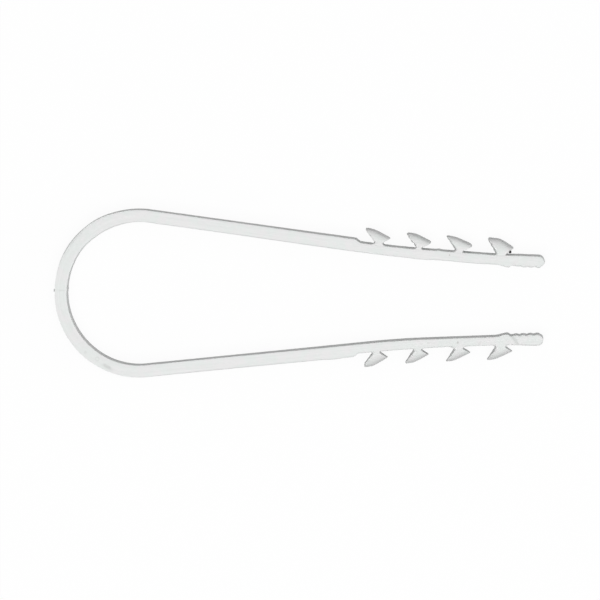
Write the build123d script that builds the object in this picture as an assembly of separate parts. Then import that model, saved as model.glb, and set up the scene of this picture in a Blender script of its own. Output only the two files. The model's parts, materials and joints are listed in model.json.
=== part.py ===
from build123d import *
import os
from math import cos, radians, sin, tan

# Sprung dowel clamp for one pipe or cable, moulded in one piece. A loop of flat band hugs the pipe. Its two
# arms lean towards each other and run out into thinner barbed legs, which are squeezed together and pushed
# into a drilled hole.
# Millimetres and degrees. The origin is on the pipe's axis at mid depth, +X runs to the tips of the legs and
# +Z is the pipe's axis, so the clamp lies on its flat side. The clamp is the same on both sides of y = 0.

# Loop and arms
pipe_diameter = 25.0
band_thickness = 2.12
band_depth = 4.8
arm_length = 37.1
arm_slope = 6.8
edge_round = 0.2

# Stub that the moulding gate leaves on the crown of the loop
gate_width = 0.5
gate_height = 0.3
gate_taper = 12.0

# Shoulder at the end of each arm, where the outer side steps down to the leg
shoulder_ramp = 0.9
shoulder_round = 0.3

# Legs, which curve outwards a little from the arms
leg_thickness = 1.57
leg_slope = 3.17
bend_radius = 150.0
bend_start = 1.3

# Half-round barbs on the outer side of each leg. Each stands on a narrow neck and has a blunt back, a crown
# that is level behind and slopes down to the front, and a little more sweep than the barb before it.
barb_count = 4
barb_pitch = 7.25
first_barb = 3.25
barb_height = 2.7
barb_rear = 2.45
barb_rear_gain = 0.1
barb_blunt = 0.4
barb_front = 1.88
barb_front_height = 1.42
neck_width = 1.4
neck_height = 0.35
crown_level = 1.4

# Tips: a crest and small ridges on the inner side, an outer side that flares to a round nose, and a step in
# both flat sides that makes the tip thinner along the pipe
crest_back = 6.2
crest_rise = 0.3
crest_ramp = 1.9
crest_fall = 0.6
crest_round = 0.7
ridge_count = 4
ridge_height = 0.12
tip_thickness = 1.92
flare_length = 5.6
flare_round = 20.0
step_height = 0.3
step_gap = 0.6
step_ramp = 0.55

# How far a shape that trims another one runs past it
trim_margin = 1.0

# Worked out from the sizes above
inner_radius = pipe_diameter / 2
outer_radius = inner_radius + band_thickness
bend_angle = arm_slope - leg_slope
bend_reach = bend_radius * tan(radians(bend_angle / 2))
leg_end = first_barb + barb_count * barb_pitch - bend_start - bend_reach
nose_radius = tip_thickness / 2
tip_depth = band_depth - 2 * step_height
step_back = crest_back - crest_fall - step_gap
arm_run = Vector(cos(radians(arm_slope)), -sin(radians(arm_slope)))
arm_out = Vector(sin(radians(arm_slope)), cos(radians(arm_slope)))
leg_run = Vector(cos(radians(leg_slope)), -sin(radians(leg_slope)))
leg_out = Vector(sin(radians(leg_slope)), cos(radians(leg_slope)))


def on_arm(along, out):
    """Point on the upper arm: along from where the loop ends, out from the inner face."""
    return arm_out * (inner_radius + out) + arm_run * along


def bend_point(out):
    """Where the lines of the upper arm and leg cross, out from the inner face."""
    crossing = on_arm(arm_length + bend_start + bend_reach, 0)
    return crossing + (arm_out + leg_out) * (out / (1 + cos(radians(bend_angle))))


def on_tip(back, out):
    """Point on the straight run of the upper leg: back from the tip's end, out from the inner face."""
    return bend_point(0) + leg_run * (leg_end - back) + leg_out * out


def tip_plane(back, out):
    """Plane on the upper leg, with X towards the tip's end and Y outwards."""
    return Plane(origin=on_tip(back, out), x_dir=leg_run, z_dir=Vector(0, 0, 1))


def both_legs(solid):
    """The solid on the upper leg and its mirror image on the lower one."""
    return [solid, mirror(solid, about=Plane.XZ)]


def band():
    """Loop, arms, legs and tips: one outline, drawn for the upper half and mirrored."""
    with BuildSketch() as outline:
        with BuildLine():
            CenterArc((0, 0), inner_radius, 180, -(90 + arm_slope))
            FilletPolyline(
                on_arm(0, 0),
                bend_point(0),
                on_tip(crest_back + crest_ramp, 0),
                on_tip(crest_back, -crest_rise),
                on_tip(crest_back - crest_fall, 0),
                on_tip(nose_radius, 0),
                radius=[bend_radius, crest_round, crest_round, crest_round],
            )
            ThreePointArc(
                on_tip(nose_radius, 0),
                on_tip(0, nose_radius),
                on_tip(nose_radius, tip_thickness),
            )
            FilletPolyline(
                on_tip(nose_radius, tip_thickness),
                on_tip(flare_length, leg_thickness),
                bend_point(leg_thickness),
                on_arm(arm_length, leg_thickness),
                on_arm(arm_length - shoulder_ramp, band_thickness),
                on_arm(0, band_thickness),
                radius=[flare_round, bend_radius - leg_thickness, shoulder_round, shoulder_round],
            )
            CenterArc((0, 0), outer_radius, 90 - arm_slope, 90 + arm_slope)
            mirror(about=Plane.XZ)
        make_face()
    return extrude(outline.sketch, amount=band_depth / 2, both=True)


def tip_step():
    """What the step takes off both flat sides of the upper tip, past the crest."""
    reach = step_back + trim_margin
    with BuildSketch(Plane.XZ) as side:
        with BuildLine():
            Polyline(
                (0, band_depth / 2),
                (step_ramp, tip_depth / 2),
                (reach, tip_depth / 2),
                (reach, band_depth),
                (0, band_depth),
                close=True,
            )
        make_face()
        mirror(about=Plane.XZ)
    return tip_plane(step_back, 0) * extrude(side.sketch, amount=2 * tip_thickness, both=True)


def barb(index):
    """One barb of the upper leg: a fan on a neck, trimmed by its crown turned about the leg's outer face."""
    rear_tip = Vector(-barb_rear - index * barb_rear_gain, barb_height)
    front_tip = Vector(barb_front, barb_front_height)
    knee = rear_tip + Vector(crown_level, 0)
    past_rear = rear_tip - Vector(trim_margin, 0)
    past_front = front_tip + (front_tip - knee).normalized() * trim_margin
    with BuildSketch() as half:
        with BuildLine():
            Polyline(past_rear, knee, past_front, (past_front.X, 0), (past_rear.X, 0), close=True)
        make_face()
    crown = revolve(half.sketch, Axis.X)

    root = -leg_thickness / 2
    rear_neck = Vector(-neck_width / 2, neck_height)
    front_neck = Vector(neck_width / 2, neck_height)
    with BuildSketch() as outline:
        with BuildLine():
            Polyline(
                (rear_neck.X, root),
                rear_neck,
                rear_tip - Vector(0, barb_blunt),
                rear_tip + Vector(0, trim_margin),
                front_tip + (front_tip - front_neck).normalized() * trim_margin,
                front_neck,
                (front_neck.X, root),
                close=True,
            )
        make_face()
    fan = extrude(outline.sketch, amount=band_depth / 2, both=True)

    face = FilletPolyline(
        on_arm(arm_length, leg_thickness),
        bend_point(leg_thickness),
        on_tip(0, leg_thickness),
        radius=bend_radius - leg_thickness,
    )
    along = first_barb + index * barb_pitch
    foot = face.position_at(along, PositionMode.LENGTH)
    run = face.tangent_at(along, PositionMode.LENGTH)
    return Plane(origin=foot, x_dir=run, z_dir=Vector(0, 0, 1)) * (fan & crown)


def ridge(index):
    """One small ridge across the inner side of the upper tip, between the crest and the nose."""
    room = crest_back - crest_fall - nose_radius
    pitch = room / ridge_count
    foot = pitch / 2
    with BuildSketch() as section:
        with BuildLine():
            rounded = ThreePointArc((-foot, 0), (0, -ridge_height), (foot, 0))
            Polyline(rounded @ 1, (foot, nose_radius), (-foot, nose_radius), rounded @ 0)
        make_face()
    bar = extrude(section.sketch, amount=tip_depth / 2 - edge_round, both=True)
    return tip_plane(nose_radius + (index + 0.5) * pitch, 0) * bar


def gate_stub():
    """Tapered square stub on the crown of the loop, sunk into the band by as much as it stands out."""
    root = Plane(origin=(gate_height - outer_radius, 0, 0), z_dir=(-1, 0, 0))
    return root * extrude(Rectangle(gate_width, gate_width), amount=2 * gate_height, taper=gate_taper)


def dowel_clamp():
    """The whole moulding as one solid."""
    body = band()
    for step in both_legs(tip_step()):
        body -= step
    walls = body.faces().filter_by(lambda face: round(face.normal_at().Z, 3) == 0)
    rims = walls.edges().filter_by(Axis.Z, reverse=True)
    body = fillet(rims, edge_round)
    for index in range(barb_count):
        body += both_legs(barb(index))
    for index in range(ridge_count):
        body += both_legs(ridge(index))
    return body + gate_stub()


os.makedirs("parts", exist_ok=True)
export_step(dowel_clamp(), "parts/dowel_clamp.step")
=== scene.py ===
# %% [markdown]
# # A sprung dowel clamp in natural white plastic
#
# The real clamp is one moulding: a loop of flat band that hugs a pipe, two arms that lean towards each
# other, and two thinner legs with barbs that are pushed into a drilled hole. It lies on its flat side, on a
# white table, and is seen from almost straight above.
#
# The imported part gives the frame: its box, its loop and where it lies. Everything below is worked out in
# millimetres, like the part itself, and becomes metres in the last node of each tree.

# %% The frame
import bpy
import json
import math
from types import SimpleNamespace
from mathutils import Matrix, Vector


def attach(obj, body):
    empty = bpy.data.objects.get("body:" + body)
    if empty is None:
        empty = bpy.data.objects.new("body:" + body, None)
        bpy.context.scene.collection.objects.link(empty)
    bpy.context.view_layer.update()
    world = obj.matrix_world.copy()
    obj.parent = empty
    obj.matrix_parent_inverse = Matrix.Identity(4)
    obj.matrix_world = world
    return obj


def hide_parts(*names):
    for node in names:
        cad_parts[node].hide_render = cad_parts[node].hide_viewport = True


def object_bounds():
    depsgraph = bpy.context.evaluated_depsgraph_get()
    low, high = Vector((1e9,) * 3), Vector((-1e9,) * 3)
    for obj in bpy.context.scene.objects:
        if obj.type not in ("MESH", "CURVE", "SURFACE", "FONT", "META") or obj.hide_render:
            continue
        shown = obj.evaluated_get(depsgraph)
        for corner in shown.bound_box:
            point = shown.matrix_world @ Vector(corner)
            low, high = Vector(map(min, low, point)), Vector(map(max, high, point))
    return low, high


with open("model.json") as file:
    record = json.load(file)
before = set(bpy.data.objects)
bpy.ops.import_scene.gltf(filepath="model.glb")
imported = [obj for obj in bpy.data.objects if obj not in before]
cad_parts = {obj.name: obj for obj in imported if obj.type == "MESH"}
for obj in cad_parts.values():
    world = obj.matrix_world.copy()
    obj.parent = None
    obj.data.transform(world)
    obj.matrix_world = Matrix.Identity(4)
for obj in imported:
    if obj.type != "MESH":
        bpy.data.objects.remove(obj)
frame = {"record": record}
cad_low, cad_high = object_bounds()
MM = 0.001
NODE = "dowel_clamp"
SLOT = "natural_plastic"
depth = (cad_high.z - cad_low.z) / MM
seat = next(mount for mount in frame["record"]["mounts"] if mount["name"] == "pipe_seat")
loop_radius = seat["dims"]["r_mm"]
print("packed box in mm:", [round(v / MM, 2) for v in (*cad_low, *cad_high)])
print("loop radius", loop_radius, "and depth", round(depth, 2))

# %% [markdown]
# ## Sums on sockets
#
# A node tree is a formula drawn as boxes. Written as Python it is much shorter, so one small class wraps a
# node's output: a sum on it adds a Math node, and `node` adds any other kind. The helper functions take a
# plain number too, so that one formula can lay a surface in a tree and also place a single point here.

# %% One class for every tree
class Wire:
    """One output of a node. Sums on it add Math nodes to its tree, and node() adds any other node."""

    def __init__(self, tree, socket=None):
        self.tree = tree
        self.socket = socket

    def node(self, kind, settings=None, sockets=None, output=0):
        """Adds a node, sets its settings, then gives its sockets their values or links."""
        made = self.tree.nodes.new(kind)
        for name, value in (settings or {}).items():
            setattr(made, name, value)
        for name, value in (sockets or {}).items():
            if isinstance(value, Wire):
                self.tree.links.new(value.socket, made.inputs[name])
            else:
                made.inputs[name].default_value = value
        return Wire(self.tree, made.outputs[output] if made.outputs else None)

    def out(self, name):
        """Another output of the same node."""
        return Wire(self.tree, self.socket.node.outputs[name])

    def math(self, operation, other=0.0):
        return self.node("ShaderNodeMath", {"operation": operation}, {0: self, 1: other})

    def math_from(self, operation, other):
        return self.node("ShaderNodeMath", {"operation": operation}, {0: other, 1: self})

    def __add__(self, other):
        return self.math("ADD", other)

    def __sub__(self, other):
        return self.math("SUBTRACT", other)

    def __mul__(self, other):
        return self.math("MULTIPLY", other)

    def __truediv__(self, other):
        return self.math("DIVIDE", other)

    def __rsub__(self, other):
        return self.math_from("SUBTRACT", other)

    def __rtruediv__(self, other):
        return self.math_from("DIVIDE", other)

    __radd__ = __add__
    __rmul__ = __mul__


def sine(value):
    return value.math("SINE") if isinstance(value, Wire) else math.sin(value)


def cosine(value):
    return value.math("COSINE") if isinstance(value, Wire) else math.cos(value)


def root(value):
    return value.math("SQRT") if isinstance(value, Wire) else math.sqrt(value)


def least(value, other):
    return value.math("MINIMUM", other) if isinstance(value, Wire) else min(value, other)


def most(value, other):
    return value.math("MAXIMUM", other) if isinstance(value, Wire) else max(value, other)


def between(value, low, high):
    return least(most(value, low), high)


def smooth(value, start, end):
    """0 at start and 1 at end, with a soft beginning and a soft end."""
    share = between((value - start) / (end - start), 0.0, 1.0)
    return share * share * (3.0 - 2.0 * share)


def ramp(value, softness):
    """0 below zero and the value itself above it, with a rounded corner."""
    return (value + root(value * value + softness * softness)) * 0.5


def bell(value, width):
    """1 at zero, falling to nothing over about twice the width."""
    return 1.0 / (1.0 + value * value * value * value / width**4)


print("the trees below are written as sums")

# %% [markdown]
# ## The line that the band follows
#
# The inner face of the band is a half loop, a straight arm, a long gentle bend and a straight leg, and the
# lower half is its mirror image. The place on that line is a closed formula of the distance from the top of
# the loop, so no points have to be stored.

# %% Sizes of the band, and its line
path_sizes = {
    "Loop radius": loop_radius,
    "Arm length": 37.1,
    "Arm slope": math.radians(6.8),
    "Bend start": 1.3,
    "Bend radius": 150.0,
    "Leg slope": math.radians(3.17),
}
first_barb = 3.25
barb_pitch = 7.25
barb_count = 4
leg_length = first_barb + barb_count * barb_pitch


def path(along, size):
    """x, y and outward direction of the inner face's upper half, at a distance from the top of the loop."""
    arm = size["Arm slope"]
    leg = size["Leg slope"]
    bend_length = size["Bend radius"] * (arm - leg)
    loop_length = size["Loop radius"] * (arm + math.pi / 2)
    arm_length = size["Arm length"] + size["Bend start"]
    turn = least(along, loop_length) / size["Loop radius"]
    on_arm = between(along - loop_length, 0.0, arm_length)
    on_bend = between(along - loop_length - arm_length, 0.0, bend_length)
    on_leg = most(along - loop_length - arm_length - bend_length, 0.0)
    slope = arm - on_bend / size["Bend radius"]
    x = on_arm * cosine(arm) - size["Loop radius"] * cosine(turn)
    x = x + size["Bend radius"] * (sine(arm) - sine(slope)) + on_leg * cosine(leg)
    y = size["Loop radius"] * sine(turn) - on_arm * sine(arm)
    y = y - size["Bend radius"] * (cosine(slope) - cosine(arm)) - on_leg * sine(leg)
    lean = turn - on_bend / size["Bend radius"]
    return x, y, 0.0 - cosine(lean), sine(lean)


shoulder = path_sizes["Loop radius"] * (path_sizes["Arm slope"] + math.pi / 2) + path_sizes["Arm length"]
path_length = shoulder + leg_length
tip = path(path_length, path_sizes)
print("the tips end at x", round(tip[0], 2), "mm; the packed part ends at", round(cad_high.x / MM, 2))

# %% [markdown]
# ## The band
#
# A flat grid is rolled up into the band: one direction of the grid runs along the line, the other runs round
# a rectangle with rounded edges. Thickness, depth, the shoulder, the crest and the ridges are all functions
# of the distance, so the loop, both arms, both legs and both tips come out as one skin. The grid's last rows
# close to a line at each tip, and merging the points there seals it.
#
# No moulding is as even as its drawing. On this one the loop is thick on one side and its edges are worn
# there, the upper leg sags twice, the lower one drifts, and both are twisted a little. Each of these is a
# size times a stretch of the line on which it acts.

# %% A tree with named inputs
MERGE_DISTANCE = 0.0002


def new_tree(name, sizes):
    """A geometry tree with one named input for each size, and wires for its inputs."""
    tree = bpy.data.node_groups.new(name, "GeometryNodeTree")
    tree.interface.new_socket("Geometry", in_out="OUTPUT", socket_type="NodeSocketGeometry")
    for label, value in sizes.items():
        socket = tree.interface.new_socket(label, in_out="INPUT", socket_type="NodeSocketFloat")
        socket.default_value = value
    start = Wire(tree).node("NodeGroupInput")
    return start, {label: start.out(label) for label in sizes}


def finish_tree(geometry, material):
    """Ends a tree with its geometry in metres, painted, and with no instances left."""
    metres = geometry.node("GeometryNodeTransform", None, {"Geometry": geometry, "Scale": (MM, MM, MM)})
    painted = geometry.node("GeometryNodeSetMaterial", None, {"Geometry": metres, "Material": material})
    real = geometry.node("GeometryNodeRealizeInstances", None, {"Geometry": painted})
    geometry.node("NodeGroupOutput", None, {"Geometry": real})
    return geometry.tree


def rounded_side(value, steepness, half, corner):
    """Where a point of a circle goes on a rectangle with rounded corners, in one direction."""
    return between(value * steepness, -1.0, 1.0) * (half - corner) + value * corner


def grid(start, rows, columns):
    """A grid of rows from 0 to 1 and columns once round: the mesh, the share of the rows and the turn."""
    size = {"Size X": 1.0, "Size Y": 1.0, "Vertices X": rows, "Vertices Y": columns + 1}
    mesh = start.node("GeometryNodeMeshGrid", None, size)
    place = start.node("GeometryNodeInputPosition")
    parts = start.node("ShaderNodeSeparateXYZ", None, {"Vector": place})
    return mesh, parts.out("X") + 0.5, parts.out("Y") * (-2 * math.pi)


def closed_skin(mesh, x, y, z):
    """The mesh moved to that place, with the points merged that came to lie together."""
    place = mesh.node("ShaderNodeCombineXYZ", None, {"X": x, "Y": y, "Z": z})
    moved = mesh.node("GeometryNodeSetPosition", None, {"Geometry": mesh, "Position": place})
    return mesh.node("GeometryNodeMergeByDistance", None, {"Geometry": moved, "Distance": MERGE_DISTANCE})


def noise(start, vector, scale, detail=2.0):
    """Smooth noise about zero."""
    sockets = {"Vector": vector, "Scale": scale, "Detail": detail}
    return start.node("ShaderNodeTexNoise", None, sockets) - 0.5


def stretch(value, begin, full, fading, end):
    """0 up to begin, 1 from full to fading, and 0 again from end on."""
    return smooth(value, begin, full) * smooth(value, end, fading)


print("helpers for trees are ready")

# %% The band's own sizes
band_sizes = {
    **path_sizes,
    "Path length": path_length,
    "Band thickness": 2.12,
    "Leg thickness": 1.57,
    "Tip thickness": 1.92,
    "Flare length": barb_pitch,
    "Depth": depth,
    "Edge round": 0.15,
    "Edge wear": 0.25,
    "Lower edge": 0.1,
    "Tip edge": 0.1,
    "Sharp edge": 0.04,
    "Shoulder": shoulder,
    "Shoulder ramp": 1.1,
    "Crest back": 6.2,
    "Crest rise": 0.36,
    "Crest ramp": 2.2,
    "Crest fall": 0.6,
    "Ridge start": 0.42,
    "Ridge height": 0.17,
    "Ridge pitch": 1.24,
    "Low ridge loss": 0.6,
    "Step back": 5.15,
    "Upper step height": 0.15,
    "Lower step height": 0.3,
    "Step ramp": 0.6,
    "Step slant": 0.7,
    "Upper nose": 1.5,
    "Lower nose": 0.88,
    "Nose shift": 0.14,
    "Upper leg gain": 0.06,
    "Lower root gain": 0.048,
    "Lower end loss": 0.072,
    "Tip unevenness": 0.1,
    "Tip taper": 0.09,
    "Sag": 0.1,
    "First sag": shoulder + 10.8,
    "Second sag": shoulder + 19.8,
    "Arm thickening": 0.055,
    "Lower drift": 0.03,
    "Drift back": 0.078,
    "Leg twist": 0.016,
    "Bulge": 0.25,
    "Inner bulge": 0.1625,
    "Thinning": 0.05,
    "Swelling place": shoulder - 4.4,
    "Swelling": 0.09,
    "Nib place": shoulder + 13.7,
    "Nib height": 0.1,
    "Gate nib place": 0.4,
    "Gate nib": 0.06,
    "Waviness": 0.05,
}
BAND_RINGS = 1101
BAND_COLUMNS = 44
BAND_STEEPNESS = 3.5
WAVE_SCALE = 0.21
print("the band has", len(band_sizes), "named sizes")

# %% Stretches of the band
# In millimetres. Two numbers are where a stretch begins and where it is full. Four numbers are where it
# begins, is full, begins to fade and ends. The first group counts along from the top of the loop.
BULGE = (0.5, 8.0, 11.0, 18.0)
INNER_BULGE = (7.0, 12.0, 14.0, 20.0)
UPPER_SHARP = (6.0, 2.0)
LOWER_SHARP = (24.0, 16.0)
WORN = (4.0, 8.0, 14.0, 19.0)
WORN_INSIDE = (9.0, 13.0)
FACING_DOWN = (20.0, 28.0)

# Counted past the shoulder
LOWER_ROOT = (12.0, 7.0)
LOWER_END = (9.0, 16.0)
DRIFT = (-25.0, -5.0)
DRIFT_BACK = (0.0, 14.0)
THICK_ARM = (-25.0, -10.0, -2.0, 3.0)
TWIST = (-22.0, 3.0)

# Counted back from the end of a tip
UNEVEN_TIP = (8.0, 6.5, 4.5, 2.5)
LOW_RIDGES = (3.9, 4.6)
TAPER = (3.2, 1.8)
TIP_EDGE = (6.0, 4.0)

# The ridges begin a little past the crest and end at these shares of the nose's radius
RIDGES_PAST_CREST = (-0.1, 0.3)
RIDGES_AT_NOSE = (0.4, 0.8)

# Half widths of single mounds
FIRST_SAG_WIDTH = 1.7
SECOND_SAG_WIDTH = 3.0
SWELLING_WIDTH = 1.2
NIB_WIDTH = 0.3
GATE_NIB_WIDTH = 0.2
print("the bulge of the loop runs from", BULGE[0], "to", BULGE[-1], "mm along")

# %% The band's faces and edges
def place_on_band(size, share):
    """Where a ring of the grid lies: which half it is on, and its distances along, past and back."""
    nose = size["Tip thickness"] * 0.5
    skin_length = size["Path length"] + nose * (math.pi / 2 - 1)
    signed = (share - 0.5) * 2.0 * skin_length
    half = signed.math("SIGN")
    upper = most(half, 0.0)
    from_end = skin_length - signed.math("ABSOLUTE")
    closing = least(from_end / nose, math.pi / 2)
    back = nose * (1.0 - cosine(closing)) + most(from_end - nose * (math.pi / 2), 0.0)
    along = size["Path length"] - back
    return SimpleNamespace(
        signed=signed,
        half=half,
        upper=upper,
        lower=1.0 - upper,
        nose=nose,
        closed=sine(closing),
        back=back,
        along=along,
        past=along - size["Shoulder"],
    )


def outer_face(start, size, at, bulge):
    """How far the outer face stands out from the line."""
    wave_place = start.node("ShaderNodeCombineXYZ", None, {"X": at.signed, "Y": 0.0, "Z": 0.0})
    outer = size["Leg thickness"] + noise(start, wave_place, WAVE_SCALE) * size["Waviness"]
    shoulder_step = smooth(at.along, size["Shoulder"] - size["Shoulder ramp"], size["Shoulder"])
    flare = smooth(at.back, size["Flare length"], at.nose)
    outer = outer + (size["Band thickness"] - size["Leg thickness"]) * (1.0 - shoulder_step)
    outer = outer + (size["Tip thickness"] - size["Leg thickness"]) * flare

    lower_gain = smooth(at.past, *LOWER_ROOT) * size["Lower root gain"]
    lower_gain = lower_gain - smooth(at.past, *LOWER_END) * size["Lower end loss"]
    uneven = (at.upper * size["Upper leg gain"] + at.lower * lower_gain) * shoulder_step
    uneven = uneven + at.upper * stretch(at.back, *UNEVEN_TIP) * size["Tip unevenness"]
    swelling = at.lower * bell(at.along - size["Swelling place"], SWELLING_WIDTH)
    nib = at.upper * bell(at.along - size["Nib place"], NIB_WIDTH)
    return outer + uneven + bulge + swelling * size["Swelling"] + nib * size["Nib height"]


def ridges(size, at, crest_end):
    """Height of the small ridges on a tip's inner side, as a share."""
    before, after = RIDGES_PAST_CREST
    low, high = RIDGES_AT_NOSE
    ridge = sine((at.back - size["Ridge start"]) * math.pi / size["Ridge pitch"]).math("ABSOLUTE")
    ridge = ridge * smooth(at.back, crest_end - before, crest_end - after)
    ridge = ridge * smooth(at.back, at.nose * low, at.nose * high)
    return ridge * (1.0 - at.upper * smooth(at.back, *LOW_RIDGES) * size["Low ridge loss"])


def inner_face(size, at, bulge):
    """How far the inner face stands out from the line, so less than zero on a crest."""
    crest_end = size["Crest back"] - size["Crest fall"]
    crest = smooth(at.back, size["Crest back"] + size["Crest ramp"], size["Crest back"])
    crest = crest * smooth(at.back, crest_end, size["Crest back"])
    inner = 0.0 - crest * size["Crest rise"] - ridges(size, at, crest_end) * size["Ridge height"]

    sag = bell(at.along - size["First sag"], FIRST_SAG_WIDTH)
    sag = sag + bell(at.along - size["Second sag"], SECOND_SAG_WIDTH)
    inner = inner - at.upper * sag * size["Sag"]
    inner = inner - at.upper * stretch(at.along, *INNER_BULGE) * size["Inner bulge"] + at.lower * bulge
    inner = inner - at.upper * stretch(at.past, *THICK_ARM) * size["Arm thickening"]
    inner = inner + at.upper * smooth(at.back, *TAPER) * size["Tip taper"]
    return inner - at.upper * bell(at.along - size["Gate nib place"], GATE_NIB_WIDTH) * size["Gate nib"]


def edge_radius(size, at, outer_side):
    """Radius of the edges: sharp outside the crown, worn on the thick side, soft below and at the tips."""
    sharp = at.lower * smooth(at.along, *LOWER_SHARP) + at.upper * smooth(at.along, *UPPER_SHARP)
    edge = size["Edge round"] + (size["Sharp edge"] - size["Edge round"]) * outer_side * sharp
    worn = stretch(at.along, *WORN) * (1.0 - outer_side * smooth(at.along, *WORN_INSIDE))
    edge = edge + at.upper * worn * size["Edge wear"]
    facing_down = smooth(at.along, *FACING_DOWN) * (at.upper + (at.lower - at.upper) * outer_side)
    return edge + facing_down * size["Lower edge"] + smooth(at.back, *TIP_EDGE) * size["Tip edge"]


print("outer face, inner face and edges are functions of the place on the band")

# %% The band's tree
def band_tree(material):
    start, size = new_tree("band", band_sizes)
    mesh, share, turn = grid(start, BAND_RINGS, BAND_COLUMNS)
    at = place_on_band(size, share)
    bulge = (at.upper * size["Bulge"] - at.lower * size["Thinning"]) * stretch(at.along, *BULGE)
    outer = outer_face(start, size, at, bulge)
    inner = inner_face(size, at, bulge)

    point = at.upper * size["Upper nose"] + at.lower * size["Lower nose"]
    thickness = (outer - inner) * 0.5 * at.closed.math("POWER", point)
    outer_side = between(cosine(turn) * BAND_STEEPNESS, 0.0, 1.0)
    corner = least(edge_radius(size, at, outer_side), thickness)
    drift = size["Lower drift"] - smooth(at.past, *DRIFT_BACK) * size["Drift back"]
    drift = at.lower * smooth(at.past, *DRIFT) * drift
    middle = (outer + inner) * 0.5 + drift - (1.0 - at.closed) * size["Nose shift"]
    across = middle + rounded_side(cosine(turn), BAND_STEEPNESS, thickness, corner)

    slanted = at.back + (across - middle) * size["Step slant"]
    step = smooth(slanted, size["Step back"], size["Step back"] - size["Step ramp"])
    step = step * (at.upper * size["Upper step height"] + at.lower * size["Lower step height"])
    apex = 1.0 - least(at.back / size["Edge round"], 1.0)
    rounded_end = size["Edge round"] * (1.0 - root(1.0 - apex * apex))
    half_depth = size["Depth"] * 0.5 - step - rounded_end
    z = rounded_side(sine(turn), BAND_STEEPNESS, half_depth, corner)

    x, y, out_x, out_y = path(at.along, size)
    twist = z * size["Leg twist"] * smooth(at.past, *TWIST)
    skin = closed_skin(mesh, x + out_x * across, at.half * (y + out_y * across) - twist, z)
    return finish_tree(skin, material)


def apply_modifiers(piece):
    """Works an object's modifiers into its mesh."""
    bpy.context.view_layer.update()
    graph = bpy.context.evaluated_depsgraph_get()
    mesh = bpy.data.meshes.new_from_object(piece.evaluated_get(graph))
    piece.modifiers.clear()
    piece.data = mesh
    mesh.name = piece.name


def grow(name, tree, sizes):
    """A plain mesh object made by a tree, with its inputs set by their identifiers."""
    piece = bpy.data.objects.new(name, bpy.data.meshes.new(name))
    bpy.context.scene.collection.objects.link(piece)
    modifier = piece.modifiers.new("grow", "NODES")
    modifier.node_group = tree
    for item in tree.interface.items_tree:
        if item.in_out == "INPUT":
            modifier[item.identifier] = sizes[item.name]
    apply_modifiers(piece)
    return piece


plastic = bpy.data.materials.new(SLOT)
band = grow("band", band_tree(plastic), band_sizes)
print("band:", len(band.data.vertices), "points,", len(band.data.polygons), "faces")

# %% [markdown]
# ## The barbs
#
# Eight barbs stand on the outer sides of the legs. Each is a fan on a narrow neck, cut off by a crown that
# is round about the leg, so that it fits a round hole. One barb is a node group: a grid whose rows are
# levels above the leg and whose columns run round each level. Its flanks are drafted, its edges and its
# crown are rounded, and noise tears its rear edge.
#
# The group is used eight times. No two barbs of the real moulding are alike, so each has its own height,
# sweep, neck and rounding, and noise in the finished place adds small lumps.

# %% Sizes of the eight barbs
UPPER = 1
LOWER = -1
barb_own = {
    UPPER: {
        "Height": (2.7, 2.72, 2.72, 2.92),
        "Rear": (2.7, 2.57, 2.9, 2.88),
        "Blunt": (0.4, 0.3, 0.15, 0.45),
        "Front": (1.74, 1.74, 1.66, 1.66),
        "Front height": (1.42, 1.28, 1.28, 1.44),
        "Nose radius": (0.1, 0.36, 0.36, 0.2),
        "Neck place": (-0.2, -0.25, -0.49, -0.48),
        "Neck width": (1.2, 0.94, 1.24, 1.52),
        "Neck height": (0.4, 0.35, 0.3, 0.1),
        "Foot": (0.85, 0.25, 0.15, 0.4),
        "Rear foot": (0.7, 0.5, 0.75, 0.6),
        "Rear draft": (0.12, 0.14, 0.34, 0.34),
        "Edge round": (0.3, 0.3, 0.2, 0.24),
        "Crown level": (1.5, 1.6, 1.4, 2.1),
        "Fullness": (3.4, 3.2, 3.8, 2.9),
        "Raggedness": (0.15, 1.1, 0.3, 0.6),
    },
    LOWER: {
        "Height": (2.76, 2.65, 2.58, 2.6),
        "Rear": (2.52, 2.46, 2.6, 2.76),
        "Blunt": (0.7, 0.2, 0.12, 0.12),
        "Front": (1.7, 1.74, 1.74, 1.8),
        "Front height": (1.36, 1.2, 1.14, 1.17),
        "Nose radius": (0.05, 0.05, 0.06, 0.06),
        "Neck place": (-0.26, -0.26, -0.3, -0.28),
        "Neck width": (1.42, 1.46, 1.62, 1.9),
        "Neck height": (0.35, 0.35, 0.35, 0.35),
        "Foot": (0.4, 0.4, 0.4, 0.4),
        "Rear foot": (0.5, 0.35, 0.65, 0.35),
        "Rear draft": (0.26, 0.3, 0.3, 0.3),
        "Edge round": (0.34, 0.34, 0.34, 0.34),
        "Crown level": (1.5, 1.5, 1.3, 1.4),
        "Fullness": (2.3, 2.4, 2.4, 2.3),
        "Raggedness": (0.3, 0.4, 0.3, 0.4),
    },
}
barb_shared = {
    "Half depth": depth / 2 - 0.02,
    "Root": 0.7,
    "Front draft": 0.08,
    "Rear round": 0.2,
    "Softness": 0.3,
}
BARB_ROWS = 44
BARB_COLUMNS = 56
BARB_STEEPNESS = 2.0
NECK_SOFTNESS = 0.15
REAR_SOFTNESS = 0.15
TEAR_SCALE = 2.2
TEAR_STRETCH = 0.12
TEAR_SHIFT = 9.0
TEAR_FULL = 0.6


def barb_sizes(side, index):
    """Every size of one barb, by name."""
    own = {label: values[index] for label, values in barb_own[side].items()}
    return {**barb_shared, **own}


print("sizes of the first barb:", barb_sizes(UPPER, 0))

# %% One barb, as a group
def soft_least(value, other, softness):
    """The smaller of two values, with a rounded corner where they cross."""
    apart = value - other
    return (value + other - root(apart * apart + softness * softness)) * 0.5


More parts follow.
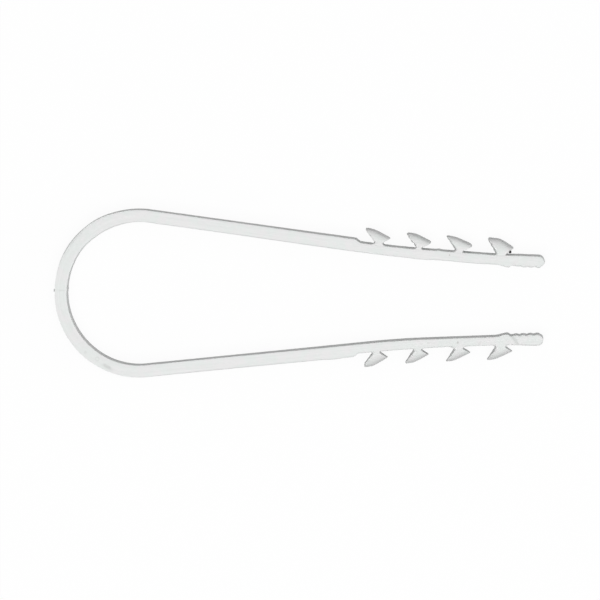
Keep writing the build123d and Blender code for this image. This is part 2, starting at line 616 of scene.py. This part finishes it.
def rounded_least(value, other, reach):
    """The smaller of two values, rounded off where they differ by less than the reach."""
    overlap = most(reach - (value - other).math("ABSOLUTE"), 0.0)
    return least(value, other) - overlap * overlap / (reach * 4.0)


def fillet_foot(level, radius):
    """How far a foot spreads on the leg: its radius at the bottom, nothing above it."""
    open_share = 1.0 - between(level / radius, 0.0, 1.0)
    return open_share * open_share * open_share * radius


def barb_group():
    start, size = new_tree("barb", barb_sizes(UPPER, 0))
    mesh, share, turn = grid(start, BARB_ROWS, BARB_COLUMNS)
    soft = size["Softness"]
    neck = size["Neck width"] * 0.5
    behind = neck - size["Neck place"]
    ahead = neck + size["Neck place"]
    crown_drop = size["Height"] - size["Front height"]
    flank_rise = size["Front height"] - size["Neck height"]
    crown_run = size["Front"] + size["Rear"] - size["Crown level"]
    opening = (size["Front"] - ahead) / flank_rise + crown_run / crown_drop
    rounding = size["Nose radius"] * opening * opening * 0.5
    corner = size["Front"] + rounding * 0.25
    fall = crown_drop / (corner + size["Rear"] - size["Crown level"])
    gain = fall * (size["Crown level"] - size["Rear round"])
    top = size["Height"] + (gain - root(gain * gain + soft * soft)) * 0.5
    level = (top + size["Root"]) * sine(share * (math.pi / 2)) - size["Root"]

    rear_foot = fillet_foot(level, size["Rear foot"])
    front_foot = fillet_foot(level, size["Foot"])
    above_neck = ramp(level - size["Neck height"], NECK_SOFTNESS)
    reach = (size["Rear"] - behind) / (top - size["Blunt"] - size["Neck height"])
    rear = soft_least(behind + rear_foot + reach * above_neck, size["Rear"], REAR_SOFTNESS)
    turned_in = between((level - top) / size["Rear round"] + 1.0, 0.0, 1.0)
    rear = size["Rear round"] * (1.0 - root(1.0 - turned_in * turned_in)) - rear
    flank = ahead + front_foot + (corner - ahead) / flank_rise * above_neck
    crown = level + soft * soft * 0.25 / (size["Height"] - level)
    front = rounded_least(flank, corner - (crown - size["Front height"]) / fall, rounding)

    half = most((front - rear) * 0.5, 0.0)
    edge = least(size["Edge round"], half)
    x = (front + rear) * 0.5 + rounded_side(cosine(turn), BARB_STEEPNESS, half, edge)
    slope_height = size["Front height"] + fall * (corner - x)
    radius = soft_least(slope_height, size["Height"], soft)
    lifted = between(level / radius, 0.0, 1.0).math("POWER", size["Fullness"])
    reach = size["Half depth"] * (1.0 - lifted).math("POWER", 1.0 / size["Fullness"])
    open_row = least(least(share, 1.0 - share) * BARB_ROWS, 1.0)
    reach = reach * open_row
    edge = least(size["Edge round"], reach)
    z = rounded_side(0.0 - sine(turn), BARB_STEEPNESS, reach, edge)

    draft = between(z.math("ABSOLUTE") / size["Half depth"], 0.0, 1.0).math("POWER", 2.0)
    ahead_share = between(cosine(turn) * BARB_STEEPNESS, -1.0, 1.0)
    x = x - draft * most(ahead_share, 0.0) * size["Front draft"]
    x = x - draft * least(ahead_share, 0.0) * size["Rear draft"]
    torn = {"X": level, "Y": z * TEAR_STRETCH, "Z": size["Rear"] * TEAR_SHIFT}
    tear = noise(start, start.node("ShaderNodeCombineXYZ", None, torn), TEAR_SCALE, 3.0)
    tear = tear * least(ahead_share, 0.0) * size["Raggedness"] * smooth(level, 0.0, TEAR_FULL)

    start.node("NodeGroupOutput", None, {"Geometry": closed_skin(mesh, x + tear, level, z)})
    return start.tree


barb = barb_group()
print("one barb:", len(barb.nodes), "nodes")

# %% Eight barbs on two legs
barbs_sizes = {"Lumps": 0.09, "Lump scale": 0.8}


def on_leg(along, out):
    """Place and turn on the upper leg: along from the shoulder, out from the outer face."""
    x, y, out_x, out_y = path(shoulder + along, path_sizes)
    reach = band_sizes["Leg thickness"] + out
    return Vector((x + out_x * reach, y + out_y * reach, 0.0)), math.atan2(-out_x, out_y)


def placed_barb(start, side, index):
    """The barb group with its own sizes, moved to its place on one leg."""
    solid = start.node("GeometryNodeGroup", {"node_tree": barb}, barb_sizes(side, index))
    place, turn = on_leg(first_barb + index * barb_pitch, 0.0)
    seated = {"Geometry": solid, "Translation": place, "Rotation": (0.0, 0.0, turn)}
    solid = start.node("GeometryNodeTransform", None, seated)
    if side == LOWER:
        solid = start.node("GeometryNodeTransform", None, {"Geometry": solid, "Scale": (1.0, -1.0, 1.0)})
        solid = start.node("GeometryNodeFlipFaces", None, {"Mesh": solid})
    return solid


def barbs_tree(material):
    start, size = new_tree("barbs", barbs_sizes)
    every = start.node("GeometryNodeJoinGeometry")
    join = every.socket.node.inputs["Geometry"]
    for side in barb_own:
        for index in range(barb_count):
            start.tree.links.new(placed_barb(start, side, index).socket, join)
    place = start.node("GeometryNodeInputPosition")
    sockets = {"Vector": place, "Scale": size["Lump scale"], "Detail": 2.0}
    lump = start.node("ShaderNodeTexNoise", None, sockets, "Color")
    lump = start.node("ShaderNodeVectorMath", {"operation": "SUBTRACT"}, {0: lump, 1: (0.5, 0.5, 0.5)})
    lump = start.node("ShaderNodeVectorMath", {"operation": "SCALE"}, {0: lump, "Scale": size["Lumps"]})
    lumpy = start.node("GeometryNodeSetPosition", None, {"Geometry": every, "Offset": lump})
    return finish_tree(lumpy, material)


barbs = grow("barbs", barbs_tree(plastic), barbs_sizes)
print("barbs:", len(barbs.data.vertices), "points,", len(barbs.data.polygons), "faces")

# %% [markdown]
# ## What is left over: a gate stub and a black grain
#
# The plastic entered the mould at the crown of the loop, and a stub of it was left there when the moulding
# was broken off. A black grain sits in the crook ahead of the last upper barb. A short cone and a lumpy ball
# are enough for them.

# %% Stub and grain
outer_radius = loop_radius + band_sizes["Band thickness"]
last_barb = first_barb + (barb_count - 1) * barb_pitch
GRAIN_AHEAD = 1.12
GRAIN_OUT = 0.74
GRAIN_UP = 1.95
grain_place = on_leg(last_barb + GRAIN_AHEAD, GRAIN_OUT)[0] + Vector((0.0, 0.0, GRAIN_UP))
small_sizes = {
    "Stub radius": 0.32,
    "Stub taper": 0.75,
    "Stub height": 0.3,
    "Stub shift": 0.16,
    "Grain radius": 0.25,
    "Grain lumps": 0.12,
    "Lump scale": 4.0,
}
STUB_SIDES = 18
GRAIN_SUBDIVISIONS = 4


def small_tree(material):
    start, size = new_tree("small", small_sizes)
    cone = {
        "Vertices": STUB_SIDES,
        "Radius Top": size["Stub radius"] * size["Stub taper"],
        "Radius Bottom": size["Stub radius"],
        "Depth": size["Stub height"] * 2.0,
    }
    stub = start.node("GeometryNodeMeshCone", None, cone)
    sunk = {"X": size["Stub height"] - outer_radius, "Y": size["Stub shift"]}
    sunk = start.node("ShaderNodeCombineXYZ", None, sunk)
    turned = {"Geometry": stub, "Translation": sunk, "Rotation": (0.0, -math.pi / 2, 0.0)}
    stub = start.node("GeometryNodeTransform", None, turned)

    ball = {"Radius": size["Grain radius"], "Subdivisions": GRAIN_SUBDIVISIONS}
    ball = start.node("GeometryNodeMeshIcoSphere", None, ball)
    place = start.node("GeometryNodeInputPosition")
    lump = noise(start, place, size["Lump scale"]) * size["Grain lumps"] / size["Grain radius"]
    push = start.node("ShaderNodeVectorMath", {"operation": "SCALE"}, {0: place, "Scale": lump})
    ball = start.node("GeometryNodeSetPosition", None, {"Geometry": ball, "Offset": push})
    ball = start.node("GeometryNodeTransform", None, {"Geometry": ball, "Translation": grain_place})

    every = start.node("GeometryNodeJoinGeometry", None, {"Geometry": stub})
    start.tree.links.new(ball.socket, every.socket.node.inputs["Geometry"])
    return finish_tree(every, material)


small = grow("small", small_tree(plastic), small_sizes)
print("stub and grain:", len(small.data.vertices), "points")
print("the grain is at", [round(v, 2) for v in grain_place])

# %% [markdown]
# ## One closed moulding
#
# The real thing has no seams, so the pieces are united into one shell. The manifold solver keeps the result
# closed. Faces are shaded smooth, except across edges that turn by more than about 40 degrees.

# %% Union
SHARP_ANGLE = math.radians(40)


def unite(base, others):
    """Unites the other objects into the base, and removes them."""
    for other in others:
        modifier = base.modifiers.new("unite", "BOOLEAN")
        modifier.operation = "UNION"
        modifier.solver = "MANIFOLD"
        modifier.object = other
    apply_modifiers(base)
    for other in others:
        bpy.data.objects.remove(other)


clamp = band
clamp.name = "clamp"
unite(clamp, [barbs, small])
clamp.data.materials.clear()
clamp.data.materials.append(plastic)
clamp.data.shade_smooth()
clamp.data.set_sharp_from_angle(angle=SHARP_ANGLE)
print("clamp:", len(clamp.data.vertices), "points,", len(clamp.data.polygons), "faces")

# %% [markdown]
# ## The plastic
#
# Natural white polypropylene, satin as moulded. It has fine streaks along the way the plastic flowed, so the
# material first finds where a point lies along and across the band, from its place alone: round the loop for
# the left part and straight for the arms. Over the streaks lie mottling and faint green and pink tints.
#
# The marks are masks about their places. The ring on the loop, which is the painted shade of a shallow pin
# mark's rim, the dots and the black grain are round. The smudge, the line at the gate, a painted shade at a
# tip's step and a painted shade in the crook beside the grain are soft strokes.

# %% Places and masks in the material
plastic.use_nodes = True
plastic.node_tree.nodes.clear()
paint = Wire(plastic.node_tree)
near_face = depth / 2


def in_millimetres():
    place = paint.node("ShaderNodeTexCoord", None, None, "Object")
    return paint.node("ShaderNodeVectorMath", {"operation": "SCALE"}, {0: place, "Scale": 1 / MM})


def flow_place(place):
    """The place along and across the band, and in depth."""
    parts = paint.node("ShaderNodeSeparateXYZ", None, {0: place})
    x = parts.out("X")
    y = parts.out("Y").math("ABSOLUTE")
    on_arm = smooth(x, 0.0, 3.0)
    radial = root(x * x + y * y)
    slope = path_sizes["Arm slope"]
    leaned = y * math.cos(slope) + x * math.sin(slope)
    across = radial + (leaned - radial) * on_arm
    round_loop = y.math("ARCTAN2", 0.0 - x) * loop_radius
    along = round_loop + (x + loop_radius * math.pi / 2 - round_loop) * on_arm
    return paint.node("ShaderNodeCombineXYZ", None, {"X": along, "Y": across, "Z": parts.out("Z")})


def on_face(x, y):
    """A place on the flat side that faces up."""
    return Vector((x, y, near_face))


def apart(place, centre):
    """Distance of the place from a fixed centre."""
    return paint.node("ShaderNodeVectorMath", {"operation": "DISTANCE"}, {0: place, 1: centre}, "Value")


def measured(place, direction):
    """How far the place lies in one direction."""
    sockets = {0: place, 1: direction}
    return paint.node("ShaderNodeVectorMath", {"operation": "DOT_PRODUCT"}, sockets, "Value")


def spot(place, centre, radius):
    """1 inside a ball about the centre and 0 outside it."""
    return smooth(apart(place, centre), radius * 1.3, radius * 0.7)


def smear(place, centre, turn, length, width):
    """1 in a soft stroke about the centre, turned in the table's plane by degrees, and 0 outside it."""
    along = Vector((math.cos(math.radians(turn)), math.sin(math.radians(turn)), 0.0))
    across = Vector((-along.y, along.x, 0.0))
    stroke = bell(measured(place, along) - along.dot(centre), length)
    stroke = stroke * bell(measured(place, across) - across.dot(centre), width)
    return stroke * spot(place, centre, length * 2.0)


def mixed(factor, first, second):
    sockets = {0: factor, 6: first, 7: second}
    return paint.node("ShaderNodeMix", {"data_type": "RGBA"}, sockets, 2)


print("masks are balls and strokes about fixed places")

# %% Streaks and marks
FLOW_STRETCH = (0.12, 4.5, 1.5)
RING_RADIUS = 0.3
RING_WIDTH = 0.11
place = in_millimetres()
flow = flow_place(place)
stretched = paint.node("ShaderNodeVectorMath", {"operation": "MULTIPLY"}, {0: flow, 1: FLOW_STRETCH})
streak = noise(paint, stretched, 1.0, 3.0)
mottle = noise(paint, place, 0.35, 3.0)
tint = noise(paint, place, 0.55, 2.0)

# A shallow pin mark on the loop: the shade of its rim is painted as a grey ring.
ring = bell(apart(place, on_face(-7.0, -11.5)) - RING_RADIUS, RING_WIDTH)
smudge = smear(place, on_face(-5.2, -12.85), turn=-30.0, length=0.75, width=0.27)
smudge = smudge * between(0.75 + noise(paint, place, 1.6, 3.0) * 1.5, 0.0, 1.0)
dots = most(spot(place, on_face(55.7, -7.45), 0.2), spot(place, on_face(54.0, 7.78), 0.13))
faint = most(spot(place, on_face(59.5, -7.5), 0.22), spot(place, on_face(50.6, -7.62), 0.2))
faint = most(faint, spot(place, on_face(-9.1, -10.4), 0.25))
gate_line = smear(place, on_face(-13.4, 0.35), turn=0.0, length=0.6, width=0.1)
faint = most(faint, gate_line)
# Painted shade: a grey stroke along the step on the lower tip's flat side, where its slanted ramp falls
# away.
step_shade = smear(place, on_face(65.75, -7.05), turn=-55.0, length=0.9, width=0.22)
# Painted shade: a dark stroke up the last upper barb's front flank, from the crook by the leg to the grain.
beside_grain = grain_place + Vector((-0.42, -0.3, 0.4))
crook_shade = smear(place, beside_grain, turn=47.0, length=0.36, width=0.1)
# Real dirt in the dots and faint spots, and painted shade in the strokes at the step and in the crook.
dirt_and_shade = dots * 0.45 + faint * 0.15 + step_shade * 0.18 + crook_shade * 0.6
grain = spot(place, grain_place, 0.36)
print("streaks and marks:", len(plastic.node_tree.nodes), "nodes")

# %% Colour and surface
DULL = (0.72, 0.74, 0.73, 1.0)
PALE = (0.815, 0.825, 0.82, 1.0)
MOTTLED = (0.765, 0.772, 0.765, 1.0)
GREENISH = (0.735, 0.79, 0.765, 1.0)
PINKISH = (0.81, 0.775, 0.79, 1.0)
PIN_RING_SHADE = (0.45, 0.45, 0.44, 1.0)
SMUDGE_GREY = (0.45, 0.46, 0.45, 1.0)
DIRT_AND_SHADE_GREY = (0.35, 0.34, 0.32, 1.0)
BLACK = (0.012, 0.011, 0.01, 1.0)
TINT_LIMIT = 0.35
colour = mixed(between(0.5 + streak * 2.4, 0.0, 1.0), DULL, PALE)
colour = mixed(between(0.3 + mottle * 1.5, 0.0, 1.0), colour, MOTTLED)
colour = mixed(between(tint * 3.0, 0.0, TINT_LIMIT), colour, GREENISH)
colour = mixed(between(tint * -3.0, 0.0, TINT_LIMIT), colour, PINKISH)
# The painted shade of the pin mark's rim.
colour = mixed(ring * 0.2, colour, PIN_RING_SHADE)
colour = mixed(smudge * 0.6, colour, SMUDGE_GREY)
# Real dirt and painted shade darken the colour together.
colour = mixed(dirt_and_shade, colour, DIRT_AND_SHADE_GREY)
colour = mixed(grain, colour, BLACK)

relief = {"Strength": 0.12, "Distance": 0.02 * MM, "Height": streak + mottle}
skin = {
    "Base Color": colour,
    "Roughness": 0.5 + streak * 0.12 + grain * 0.3,
    "Normal": paint.node("ShaderNodeBump", None, relief),
    "IOR": 1.49,
    "Specular IOR Level": 0.35,
}
shader = paint.node("ShaderNodeBsdfPrincipled", None, skin)
paint.node("ShaderNodeOutputMaterial", None, {"Surface": shader})
print("plastic:", len(plastic.node_tree.nodes), "nodes")

# %% [markdown]
# ## Table, light and camera
#
# The table is white where it is seen, straight or in a reflection, and keeps a faint shadow. To all other
# rays it is grey, so that little light comes back up to the walls and they stay darker than the flat sides.
# The sky is split in the same way. A wide panel above gives most of the light, and a weak fill beyond the
# tips brightens the walls that face it.

# %% Table and sky
HALF_TABLE = 6.0
GLOW_SHARE = 0.93
WHITE = (1.0, 1.0, 1.0, 1.0)
TABLE_WHITE = (0.95, 0.95, 0.95, 1.0)
TABLE_GREY = (0.08, 0.08, 0.08, 1.0)


def seen_directly(start):
    """1 for rays from the camera, a mirror or a window, and 0 for the light that surfaces pass on."""
    ray = start.node("ShaderNodeLightPath")
    return most(most(ray.out("Is Camera Ray"), ray.out("Is Glossy Ray")), ray.out("Is Transmission Ray"))


table_mesh = bpy.data.meshes.new("table")
corners = [(-1, -1), (1, -1), (1, 1), (-1, 1)]
points = [(x * HALF_TABLE, y * HALF_TABLE, cad_low.z) for x, y in corners]
table_mesh.from_pydata(points, [], [(0, 1, 2, 3)])
table = bpy.data.objects.new("table", table_mesh)
bpy.context.scene.collection.objects.link(table)

table_paint = bpy.data.materials.new("table")
table_paint.use_nodes = True
table_paint.node_tree.nodes.clear()
board = Wire(table_paint.node_tree)
glow = board.node("ShaderNodeEmission", None, {"Color": WHITE, "Strength": 1.0})
white = board.node("ShaderNodeBsdfDiffuse", None, {"Color": TABLE_WHITE})
grey = board.node("ShaderNodeBsdfDiffuse", None, {"Color": TABLE_GREY})
seen = board.node("ShaderNodeMixShader", None, {0: GLOW_SHARE, 1: white, 2: glow})
board.node("ShaderNodeOutputMaterial", None, {
    "Surface": board.node("ShaderNodeMixShader", None, {0: seen_directly(board), 1: grey, 2: seen}),
})
table_mesh.materials.append(table_paint)

world = bpy.data.worlds.new("sky")
bpy.context.scene.world = world
world.use_nodes = True
world.node_tree.nodes.clear()
sky = Wire(world.node_tree)
dim = sky.node("ShaderNodeBackground", None, {"Color": WHITE, "Strength": 0.42})
bright = sky.node("ShaderNodeBackground", None, {"Color": WHITE, "Strength": 1.0})
sky.node("ShaderNodeOutputWorld", None, {
    "Surface": sky.node("ShaderNodeMixShader", None, {0: seen_directly(sky), 1: dim, 2: bright}),
})
print("table and sky are white to the camera")

# %% Lamps
def area_lamp(name, size, energy, place, target):
    """A square lamp that the camera doesn't see, turned to a target."""
    lamp = bpy.data.lights.new(name, "AREA")
    lamp.shape = "SQUARE"
    lamp.size = size
    lamp.energy = energy
    made = bpy.data.objects.new(name, lamp)
    made.location = place
    made.rotation_euler = (Vector(target) - Vector(place)).to_track_quat("-Z", "Y").to_euler()
    made.visible_camera = False
    bpy.context.scene.collection.objects.link(made)


middle = ((cad_low.x + cad_high.x) / 2, 0.0, 0.0)
area_lamp("panel", size=0.6, energy=4.85, place=(middle[0], -0.12, 0.9), target=middle)
area_lamp("fill", size=0.5, energy=3.5, place=(1.5, 0.0, 0.5), target=middle)
print("a panel above and a weak fill beyond the tips")

# %% Camera
LENS = 500.0
SENSOR = 36.0
FRAME_WIDTH = 104.34 * MM
ROLL = math.radians(1.116)
aim = Vector((28.14, -0.55, near_face)) * MM
back = Vector((0.034, 0.06, 1.0)).normalized()
right = Vector((math.cos(ROLL), math.sin(ROLL), 0.0))
right = (right - back * right.dot(back)).normalized()
up = back.cross(right)

eye = bpy.data.cameras.new("eye")
eye.lens = LENS
eye.sensor_width = SENSOR
eye.clip_end = 20.0
camera = bpy.data.objects.new("eye", eye)
bpy.context.scene.collection.objects.link(camera)
distance = FRAME_WIDTH * LENS / SENSOR
turned = Matrix((right, up, back)).transposed().to_4x4()
camera.matrix_world = Matrix.Translation(aim + back * distance) @ turned
bpy.context.scene.camera = camera
bpy.context.scene.view_settings.view_transform = "Standard"
print("camera", round(distance, 3), "m away")

# %% [markdown]
# ## Hand over
#
# The clamp rides on the only body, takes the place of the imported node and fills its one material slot. The
# table is only stage.

# %% Bind and finish
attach(clamp, "root")
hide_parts(NODE)
